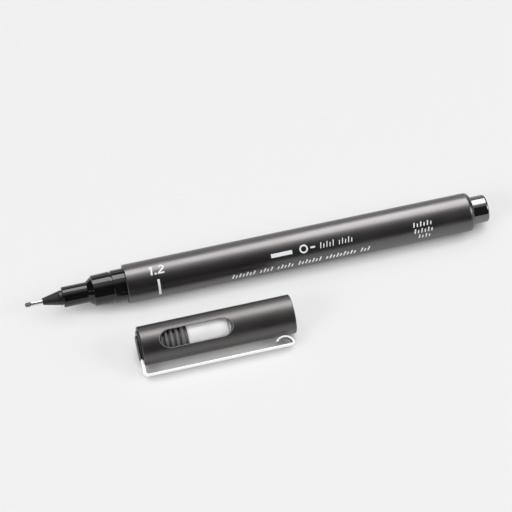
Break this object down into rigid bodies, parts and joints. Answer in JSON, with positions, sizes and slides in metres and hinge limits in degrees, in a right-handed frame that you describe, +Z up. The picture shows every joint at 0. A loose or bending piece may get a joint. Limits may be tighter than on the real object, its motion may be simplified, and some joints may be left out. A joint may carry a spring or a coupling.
{
  "type": "technical pen",
  "caption": "Slim fine-line technical pen lying uncapped beside its windowed cap with a steel clip; the cap lifts to the nib and the clip springs open.",
  "frame": {"origin": "middle of the footprint of the pen and the cap beside it, on the surface they lie on", "axes": "+X along the pen from the nib to the tail, +Z up from the surface, +Y from the cap towards the pen"},
  "size_m": [0.1248, 0.0326, 0.0102],
  "materials": {
    "barrel_plastic": "satin charcoal with a fine even grain",
    "gloss_black": "polished black",
    "satin_black": "satin black",
    "steel": "polished drawn steel",
    "clip_steel": "bright rolled steel strip",
    "nib_fibre": "matt ink-stained fibre",
    "ink_fibre": "ink-soaked fibre",
    "film": "clear film over fibre",
    "white_plastic": "polished pale white"
  },
  "bodies": {
    "pen": {"barrel": "barrel_plastic", "front_section": "gloss_black", "nib_holder": "satin_black", "nib_sleeve": "steel", "fibre_nib": "nib_fibre", "relay_wick": "nib_fibre", "ink_reservoir": "ink_fibre", "reservoir_film": "film", "tail_plug": "gloss_black"},
    "cap": {"cap_shell": "barrel_plastic", "inner_cap": "white_plastic", "crown_plug": "satin_black", "clip_tab": "clip_steel"},
    "clip": {"clip_arm": "clip_steel"}
  },
  "joints": [
    {"name": "cap_carry", "type": "slide", "parent": "pen", "child": "cap", "axis": [-0.979, 0.2036, 0], "range_m": [0, 0.0972]},
    {"name": "clip_flex", "type": "hinge", "parent": "cap", "child": "clip", "pos_m": [-0.0367, -0.01334, 0.0026], "axis": [0, 0.4631, -0.8863], "range_deg": [0, 6], "stiffness_Nm_per_rad": 1}
  ]
}
